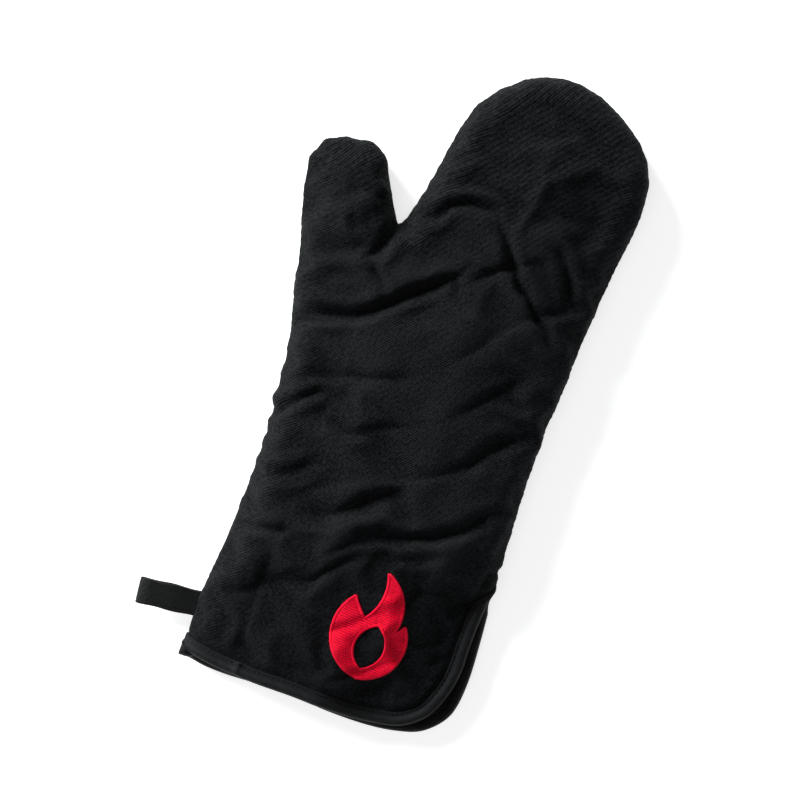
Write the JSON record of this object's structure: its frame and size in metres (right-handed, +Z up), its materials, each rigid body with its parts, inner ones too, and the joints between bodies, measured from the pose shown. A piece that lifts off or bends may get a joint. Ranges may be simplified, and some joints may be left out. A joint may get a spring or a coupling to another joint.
{
  "type": "heat resistant glove",
  "caption": "Long padded barbecue mitt with a separate thumb, a bound and vented cuff, a side hanging loop and a stitched flame emblem.",
  "frame": {"origin": "middle of the overall box, on the table that the mitt lies on", "axes": "+Y from the hem to the finger end, +X across the mitt away from the thumb, +Z up out of the front panel, which carries the emblem"},
  "size_m": [0.2218, 0.432, 0.042],
  "materials": {
    "black_twill": "matt cotton twill",
    "white_batting": "needled felt",
    "black_lining": "plain cotton",
    "binding_tape": "slightly satiny bias tape",
    "black_thread": "spun thread",
    "red_thread": "satin stitched",
    "loop_tape": "folded cotton tape"
  },
  "bodies": {
    "mitt": {"front_shell_hand": "black_twill", "front_batting_hand": "white_batting", "front_lining_hand": "black_lining", "back_shell_hand": "black_twill", "back_batting_hand": "white_batting", "back_lining_hand": "black_lining", "front_cuff_binding": "binding_tape", "back_cuff_binding": "binding_tape", "front_binding_stitching": "black_thread", "back_binding_stitching": "black_thread", "emblem_flame": "red_thread"},
    "fingers": {"front_shell_fingers": "black_twill", "front_batting_fingers": "white_batting", "front_lining_fingers": "black_lining", "back_shell_fingers": "black_twill", "back_batting_fingers": "white_batting", "back_lining_fingers": "black_lining"},
    "thumb": {"front_shell_thumb": "black_twill", "front_batting_thumb": "white_batting", "front_lining_thumb": "black_lining", "back_shell_thumb": "black_twill", "back_batting_thumb": "white_batting", "back_lining_thumb": "black_lining"},
    "loop": {"hanging_loop": "loop_tape"}
  },
  "joints": [
    {"name": "finger_fold", "type": "hinge", "parent": "mitt", "child": "fingers", "pos_m": [0.035, 0.114, 0.029], "axis": [1, 0, 0], "range_deg": [0, 60]},
    {"name": "thumb_fold", "type": "hinge", "parent": "mitt", "child": "thumb", "pos_m": [-0.0435, 0.1023, 0.026], "axis": [0.866, 0.5, 0], "range_deg": [0, 40]},
    {"name": "loop_swing", "type": "hinge", "parent": "mitt", "child": "loop", "pos_m": [-0.077, -0.179, 0.0104], "axis": [-0.1132, 0.9936, 0], "range_deg": [0, 90]}
  ]
}
